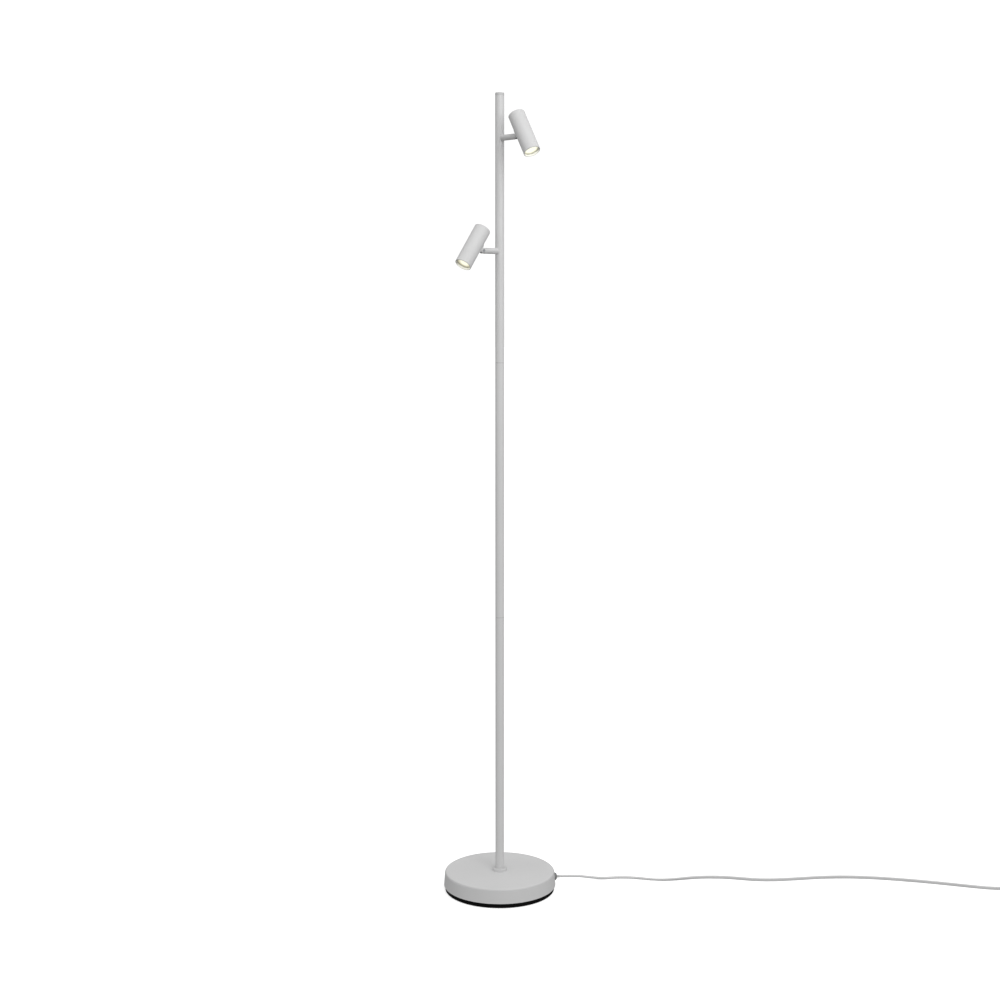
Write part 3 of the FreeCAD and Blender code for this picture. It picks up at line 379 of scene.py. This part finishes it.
def add_bump(tree, shader, height, depth, strength=1.0):
    bump = tree.nodes.new("ShaderNodeBump")
    bump.inputs["Strength"].default_value = strength
    bump.inputs["Distance"].default_value = depth
    tree.links.new(height, bump.inputs["Height"])
    tree.links.new(bump.outputs["Normal"], shader.inputs["Normal"])


def grained(name, light, dark, patches, grain, depth, roughness, metallic=0.0):
    """A surface whose colour drifts between two tones, with a fine grain in its bump.

    patches and grain are how many of them a metre holds, and depth is the grain's height.
    """
    material, tree, shader, place = new_material(name)
    drift = stretch(tree, add_noise(tree, place, patches), *NOISE_RANGE)
    tree.links.new(mix_colours(tree, drift, dark, light), shader.inputs["Base Color"])
    fine = add_noise(tree, place, grain, detail=2.0)
    smoothest = roughness - ROUGHNESS_SPREAD
    roughest = roughness + ROUGHNESS_SPREAD
    tree.links.new(stretch(tree, fine, *NOISE_RANGE, smoothest, roughest), shader.inputs["Roughness"])
    shader.inputs["Metallic"].default_value = metallic
    add_bump(tree, shader, fine, depth)
    return material


def tint_where(material, share_of, tint):
    """Lay a second colour over a coat where share_of(tree, place) is 1."""
    tree = material.node_tree
    base_colour = tree.nodes["Principled BSDF"].inputs["Base Color"]
    coat = base_colour.links[0].from_socket
    mix = tree.nodes.new("ShaderNodeMix")
    mix.data_type = "RGBA"
    tree.links.new(share_of(tree, place_in_frame(tree)), mix.inputs["Factor"])
    tree.links.new(coat, mix.inputs["A"])
    mix.inputs["B"].default_value = (*tint, 1)
    tree.links.new(mix.outputs["Result"], base_colour)
    return material


# Coats of the pole, the base and the heads. The seams are the two joints of the pole's tubes.
# The pole's foot and the base's rim are darkened with painted shade.

POLE_GREYS = (0.775, 0.745)
POLE_ROUGHNESS = 0.36
BASE_GREYS = (0.735, 0.705)
HEAD_GREYS = (0.745, 0.715)
COAT_ROUGHNESS = 0.55
SEAM_WIDTH = 0.0010
SEAM_GREY = 0.56
FOOT_PAINTED_SHADE_GREY = 0.64
FOOT_SHADE_REACH = 0.10
RIM_ROUND = 0.0045
RIM_MIDDLE = 0.0015
RIM_PAINTED_SHADE_GREY = 0.62


def powder_coat(name, greys, roughness=COAT_ROUGHNESS):
    light, dark = greys
    return grained(
        name, light=grey(light), dark=grey(dark), patches=9, grain=1400,
        depth=0.00005, roughness=roughness)


def seam_share(tree, place):
    """1 within half a seam's width of the top of either joined tube, and 0 elsewhere."""
    height = split(tree, place)["Z"]
    near_seams = []
    for name in ("lower_tube", "middle_tube"):
        near = tree.nodes.new("ShaderNodeMath")
        near.operation = "COMPARE"
        near.inputs[1].default_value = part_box(name)[1].z
        near.inputs[2].default_value = SEAM_WIDTH / 2
        tree.links.new(height, near.inputs[0])
        near_seams.append(near.outputs["Value"])
    return combine(tree, "MAXIMUM", *near_seams)


def foot_painted_shade_share(tree, place):
    """Painted shade: 1 where the pole stands on the base, fading out a little way up."""
    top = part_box("base_cover")[1].z
    return stretch(tree, split(tree, place)["Z"], top + FOOT_SHADE_REACH, top)


def rim_painted_shade_share(tree, place):
    """Painted shade: 1 a third of the way down the base's rounded rim, and 0 on its top and its side."""
    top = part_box("base_cover")[1].z
    height = split(tree, place)["Z"]
    rising = stretch(tree, height, top - RIM_ROUND, top - RIM_MIDDLE)
    falling = stretch(tree, height, top, top - RIM_MIDDLE)
    return combine(tree, "MULTIPLY", rising, falling)


def pole_coat():
    coat = powder_coat("pole_coat", POLE_GREYS, POLE_ROUGHNESS)
    tint_where(coat, seam_share, grey(SEAM_GREY))
    # Painted shade on the pole's foot and its collar, where the pole meets the base.
    return tint_where(coat, foot_painted_shade_share, grey(FOOT_PAINTED_SHADE_GREY))


def base_coat():
    # Painted shade along the base's rounded rim, which tones down the light on it.
    return tint_where(powder_coat("base_coat", BASE_GREYS), rim_painted_shade_share, grey(RIM_PAINTED_SHADE_GREY))


# Metals. The tongue's blade is dark, painted shade in the gap of the fork, and its saddle
# further out is light.

BLADE_PAINTED_SHADE_REACH = 0.0058
SADDLE_START = 0.0064
SADDLE_GREY = 0.74
BRUSH_SCALES = (60, 60, 3000)


def tongue_painted_shade(side):
    """Painted shade near the tilt joint's pivot, dark in the gap of the fork, and light from where the
    saddle starts.
    """
    pivot = next(joint["pos_m"] for joint in frame["joints"] if joint["name"] == side + "_tilt_joint")

    def saddle_share(tree, place):
        distance = tree.nodes.new("ShaderNodeVectorMath")
        distance.operation = "DISTANCE"
        distance.inputs[1].default_value = pivot
        tree.links.new(place, distance.inputs[0])
        return stretch(tree, distance.outputs["Value"], BLADE_PAINTED_SHADE_REACH, SADDLE_START)

    metal = grained(
        side + "_tongue_painted_shade", light=grey(0.26), dark=grey(0.22), patches=120, grain=2200,
        depth=0.00004, roughness=0.5)
    return tint_where(metal, saddle_share, grey(SADDLE_GREY))


def cast_iron():
    return grained(
        "cast_iron", light=grey(0.10), dark=grey(0.06), patches=80, grain=900,
        depth=0.0002, roughness=0.65, metallic=0.6)


def zinc_plate():
    return grained(
        "zinc_plate", light=(0.60, 0.61, 0.64), dark=(0.52, 0.53, 0.55), patches=200, grain=2500,
        depth=0.00002, roughness=0.32, metallic=1.0)


def reflector_metal():
    return grained(
        "reflector_cup", light=grey(0.9), dark=grey(0.82), patches=100, grain=900,
        depth=0.00005, roughness=0.12, metallic=1.0)


def nickel():
    return grained(
        "nickel_pins", light=grey(0.75, 0.01), dark=grey(0.66, 0.01), patches=300, grain=2000,
        depth=0.00001, roughness=0.2, metallic=1.0)


def turned_aluminium():
    """Bright metal with fine turned lines about the vertical."""
    material, tree, shader, place = new_material("turned_aluminium")
    squeeze = tree.nodes.new("ShaderNodeMapping")
    squeeze.inputs["Scale"].default_value = BRUSH_SCALES
    tree.links.new(place, squeeze.inputs["Vector"])
    lines = add_noise(tree, squeeze.outputs["Vector"], scale=1.0)
    tree.links.new(mix_colours(tree, lines, grey(0.60), grey(0.78)), shader.inputs["Base Color"])
    shader.inputs["Metallic"].default_value = 1.0
    shader.inputs["Roughness"].default_value = 0.3
    add_bump(tree, shader, lines, depth=0.00002)
    return material


# Plastics and rubber

PLINTH_SHEEN = 0.1


def cap_plastic():
    return grained(
        "cap_plastic", light=grey(0.66), dark=grey(0.63), patches=40, grain=1500,
        depth=0.00004, roughness=0.5)


def plinth_plastic():
    """Deep black with almost no sheen."""
    plinth = grained(
        "plinth_plastic", light=grey(0.004), dark=grey(0.002), patches=30, grain=2500,
        depth=0.00004, roughness=0.75)
    plinth.node_tree.nodes["Principled BSDF"].inputs["Specular IOR Level"].default_value = PLINTH_SHEEN
    return plinth


def foot_rubber():
    return grained(
        "foot_rubber", light=grey(0.03), dark=grey(0.02), patches=60, grain=1800,
        depth=0.00008, roughness=0.8)


def dark_plastic():
    return grained(
        "dark_plastic", light=grey(0.07), dark=grey(0.055), patches=120, grain=2200,
        depth=0.00004, roughness=0.5)


def gland_plastic():
    return grained(
        "gland_plastic", light=grey(0.26), dark=grey(0.23), patches=120, grain=2200,
        depth=0.00004, roughness=0.5)


def driver_plastic():
    return grained(
        "driver_plastic", light=grey(0.72, 0.01), dark=grey(0.68, 0.01), patches=40, grain=1500,
        depth=0.00004, roughness=0.55)


def grey_moulding():
    return grained(
        "grey_moulding", light=grey(0.66), dark=grey(0.62), patches=35, grain=1300,
        depth=0.00005, roughness=0.5)


def lead_sheath():
    return grained(
        "lead_sheath", light=grey(0.68), dark=grey(0.62), patches=40, grain=2500,
        depth=0.00003, roughness=0.5)


def cord_sheath():
    return grained(
        "cord_sheath", light=grey(0.75), dark=grey(0.71), patches=25, grain=1800,
        depth=0.00005, roughness=0.6)


# The lit heads. The lens is brightest over the light source. Its light on the lower side of
# the wall inside the mouth and a little on the trim ring is painted light, a glow in their coats.

LENS_RADIUS = 0.0135
LENS_BRIGHT_RADIUS = {"upper": 0.0085, "lower": 0.0060}
LENS_MIDDLE = {"upper": (1.0, 1.0, 0.84), "lower": (1.0, 0.98, 0.78)}
LENS_EDGE = {"upper": (1.0, 0.96, 0.68), "lower": (1.0, 0.92, 0.62)}
LENS_MIDDLE_GLOW = 0.95
LENS_EDGE_GLOW = {"upper": 0.50, "lower": 0.22}
LENS_BODY = (0.30, 0.30, 0.26)
LENS_ROUGHNESS = 0.25
FACETS_PER_METRE = 700
FACET_DEPTH = 0.0003
FACET_STRENGTH = 0.6
TRIM_PAINTED_LIGHT = 0.04
SHELL_BORE_RADIUS = 0.01356
MOUTH_EDGE = 0.0004
MOUTH_GLOW_START = 0.0005
MOUTH_GLOW_FULL = 0.0060
MOUTH_PAINTED_LIGHT = 0.40
MOUTH_PAINTED_LIGHT_COLOUR = (1.0, 0.98, 0.84)


def head_axis(side):
    """The middle of a head's lens, and the direction from there to the rear cap."""
    low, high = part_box(side + "_lens")
    lens = (low + high) / 2
    low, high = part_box(side + "_rear_cap")
    return lens, ((low + high) / 2 - lens).normalized()


def across_axis(tree, place, side):
    """A place as the flat vector that leads to it from a head's axis."""
    lens, axis = head_axis(side)
    local = tree.nodes.new("ShaderNodeMapping")
    local.vector_type = "TEXTURE"
    local.inputs["Location"].default_value = lens
    local.inputs["Rotation"].default_value = UP.rotation_difference(axis).to_euler()
    tree.links.new(place, local.inputs["Vector"])
    flatten = tree.nodes.new("ShaderNodeVectorMath")
    flatten.operation = "MULTIPLY"
    flatten.inputs[1].default_value = (1, 1, 0)
    tree.links.new(local.outputs["Vector"], flatten.inputs[0])
    return flatten.outputs["Vector"]


def length_of(tree, vector):
    node = tree.nodes.new("ShaderNodeVectorMath")
    node.operation = "LENGTH"
    tree.links.new(vector, node.inputs[0])
    return node.outputs["Value"]


def lit_shell(side):
    """Powder coat with painted light inside the mouth, below the middle of the lens: the lens's light on
    the wall, painted as a glow.
    """
    material = powder_coat(side + "_shell_coat", HEAD_GREYS)
    tree = material.node_tree
    shader = tree.nodes["Principled BSDF"]
    place = place_in_frame(tree)
    radius = length_of(tree, across_axis(tree, place, side))
    inside = stretch(tree, radius, SHELL_BORE_RADIUS, SHELL_BORE_RADIUS + MOUTH_EDGE, 1, 0)
    lens_height = head_axis(side)[0].z
    start = lens_height - MOUTH_GLOW_START
    full = lens_height - MOUTH_GLOW_FULL
    below = stretch(tree, split(tree, place)["Z"], start, full)
    # Painted light: the lens's light on the lower wall of the mouth, as a glow.
    glow = stretch(tree, combine(tree, "MULTIPLY", inside, below), 0, 1, 0, MOUTH_PAINTED_LIGHT)
    shader.inputs["Emission Color"].default_value = (*MOUTH_PAINTED_LIGHT_COLOUR, 1)
    tree.links.new(glow, shader.inputs["Emission Strength"])
    return material


def lit_lens(side):
    """Frosted lens lit from behind, with fine facets."""
    material, tree, shader, place = new_material(side + "_lit_lens")
    across = across_axis(tree, place, side)
    edge_share = stretch(tree, length_of(tree, across), LENS_BRIGHT_RADIUS[side], LENS_RADIUS)
    colour = mix_colours(tree, edge_share, LENS_MIDDLE[side], LENS_EDGE[side])
    tree.links.new(colour, shader.inputs["Emission Color"])
    glow = stretch(tree, edge_share, 0, 1, LENS_MIDDLE_GLOW, LENS_EDGE_GLOW[side])
    tree.links.new(glow, shader.inputs["Emission Strength"])
    facets = tree.nodes.new("ShaderNodeTexVoronoi")
    facets.inputs["Scale"].default_value = FACETS_PER_METRE
    tree.links.new(across, facets.inputs["Vector"])
    shader.inputs["Base Color"].default_value = (*LENS_BODY, 1)
    shader.inputs["Roughness"].default_value = LENS_ROUGHNESS
    add_bump(tree, shader, facets.outputs["Distance"], FACET_DEPTH, FACET_STRENGTH)
    return material


def trim_plastic():
    trim = grained(
        "trim_ring_plastic", light=(0.62, 0.62, 0.55), dark=(0.56, 0.56, 0.49), patches=60,
        grain=1600, depth=0.00003, roughness=0.5)
    shader = trim.node_tree.nodes["Principled BSDF"]
    # Painted light: a faint glow for the lens's light on the ring.
    shader.inputs["Emission Color"].default_value = (*LENS_EDGE["upper"], 1)
    shader.inputs["Emission Strength"].default_value = TRIM_PAINTED_LIGHT
    return trim


# Who wears what


def paint(material, *names):
    for name in names:
        for slot in nodes[name].material_slots:
            slot.material = material


def both(*pieces):
    return [side + "_" + piece for side in SIDES for piece in pieces]


def dress_pole_and_base():
    paint(pole_coat(), "lower_tube", "middle_tube", "upper_tube", "pole_collar")
    paint(cap_plastic(), "pole_cap")
    paint(base_coat(), "base_cover")
    paint(plinth_plastic(), "bottom_plate")
    paint(foot_rubber(), "foot_ring")
    paint(cast_iron(), "base_weight")


def dress_heads():
    paint(powder_coat("powder_coat", HEAD_GREYS), *both("arm", "yoke", "rear_cap"))
    paint(reflector_metal(), *both("reflector"))
    paint(trim_plastic(), *both("lens_ring"))
    for side in SIDES:
        paint(tongue_painted_shade(side), side + "_tongue")
        paint(lit_lens(side), side + "_lens")
        paint(lit_shell(side), side + "_shell")


def dress_shared():
    """Finishes that pieces of the pole, the base, the heads and the switch have in common."""
    screws = ("base_screws", "clamp_screws", *both("pivot_screw", "tongue_screws"))
    paint(zinc_plate(), *screws, "pole_nipple", "nipple_nut", "foot_insert", *both("arm_anchor"))
    paint(turned_aluminium(), "lower_coupler", "upper_coupler", *both("heat_sink"))
    paint(dark_plastic(), "switch_button", *both("friction_washers"))
    paint(driver_plastic(), "led_driver", "cord_clamp", *both("led_board"))
    paint(lead_sheath(), *both("lead"))


def dress_cord(lead, reliefs):
    paint(gland_plastic(), "cord_gland")
    sheath = cord_sheath()
    paint(sheath, "mains_tail")
    lead.data.materials.append(sheath)
    moulding = grey_moulding()
    paint(moulding, "switch_base", "switch_cover", "plug_body")
    for relief in reliefs:
        relief.data.materials.append(moulding)
    paint(nickel(), "plug_pins")


# Floor and light. The floor and the white dome behind it show to the camera only, so the
# lamp is lit by the studio alone, and its undersides stay darker than its front.

FLOOR_REACH = 30.0
FLOOR_GLOW = 0.6
DOME_RADIUS = 28.0
DOME_DIVISIONS = 4
DOME_GLOW = 1.05

# The studio's light changes with the direction that it comes from: a range of the unit
# direction's part along an axis, and the strength at the two ends of that range.

BELOW_TO_ABOVE = (-0.35, 0.5)
BELOW_TO_ABOVE_LIGHT = (0.29, 0.85)
FRONT_TO_BACK = (-0.6, 0.6)
FRONT_TO_BACK_LIGHT = (1.0, 0.72)
LEFT_TO_RIGHT = (-0.8, 0.8)
LEFT_TO_RIGHT_LIGHT = (0.93, 1.02)

KEY_PLACE = Vector((0.8, -1.6, 2.0))
KEY_TARGET = Vector((0, 0, 1.3))
KEY_WIDTH = 1.2
KEY_HEIGHT = 1.6
KEY_POWER = 14.5


def camera_only(piece):
    piece.visible_diffuse = False
    piece.visible_glossy = False
    piece.visible_transmission = False
    piece.visible_shadow = False


def make_glow(shader, strength):
    shader.inputs["Emission Color"].default_value = WHITE
    shader.inputs["Emission Strength"].default_value = strength


def add_floor():
    corners = [(-1, -1), (1, -1), (1, 1), (-1, 1)]
    mesh = bpy.data.meshes.new("floor")
    mesh.from_pydata([(x * FLOOR_REACH, y * FLOOR_REACH, 0) for x, y in corners], [], [(0, 1, 2, 3)])
    floor = add_object("floor", mesh)
    material = grained(
        "pale_floor", light=grey(0.93), dark=grey(0.92), patches=0.8, grain=300,
        depth=0.00002, roughness=0.9)
    make_glow(material.node_tree.nodes["Principled BSDF"], FLOOR_GLOW)
    mesh.materials.append(material)
    camera_only(floor)


def add_dome():
    """A white shell around the whole scene, seen from inside."""
    mesh = bpy.data.meshes.new("dome")
    shape = bmesh.new()
    bmesh.ops.create_icosphere(shape, subdivisions=DOME_DIVISIONS, radius=DOME_RADIUS)
    shape.to_mesh(mesh)
    shape.free()
    dome = add_object("dome", mesh)
    material = bpy.data.materials.new("white_dome")
    material.use_nodes = True
    shader = material.node_tree.nodes["Principled BSDF"]
    shader.inputs["Base Color"].default_value = (0, 0, 0, 1)
    make_glow(shader, DOME_GLOW)
    mesh.materials.append(material)
    camera_only(dome)


def add_key_light():
    """A soft rectangular lamp in front, above and to the right."""
    light = bpy.data.lights.new("key", "AREA")
    light.shape = "RECTANGLE"
    light.size = KEY_WIDTH
    light.size_y = KEY_HEIGHT
    light.energy = KEY_POWER
    holder = add_object("key", light)
    holder.location = KEY_PLACE
    holder.rotation_euler = (KEY_TARGET - KEY_PLACE).to_track_quat("-Z", "Y").to_euler()


def light_room():
    """Soft light that is strongest from the front, from above and a little from the right."""
    world = bpy.data.worlds.new("studio")
    world.use_nodes = True
    tree = world.node_tree
    parts = split(tree, tree.nodes.new("ShaderNodeTexCoord").outputs["Generated"])
    from_above = stretch(tree, parts["Z"], *BELOW_TO_ABOVE, *BELOW_TO_ABOVE_LIGHT)
    from_behind = stretch(tree, parts["Y"], *FRONT_TO_BACK, *FRONT_TO_BACK_LIGHT)
    from_right = stretch(tree, parts["X"], *LEFT_TO_RIGHT, *LEFT_TO_RIGHT_LIGHT)
    strength = combine(tree, "MULTIPLY", combine(tree, "MULTIPLY", from_above, from_behind), from_right)
    background = tree.nodes["Background"]
    background.inputs["Color"].default_value = WHITE
    tree.links.new(strength, background.inputs["Strength"])
    bpy.context.scene.world = world
    bpy.context.scene.view_settings.view_transform = "Standard"


add_camera()
reliefs = strain_reliefs()
lead = add_cord()
dress_pole_and_base()
dress_heads()
dress_shared()
dress_cord(lead, reliefs)
add_floor()
add_dome()
add_key_light()
light_room()
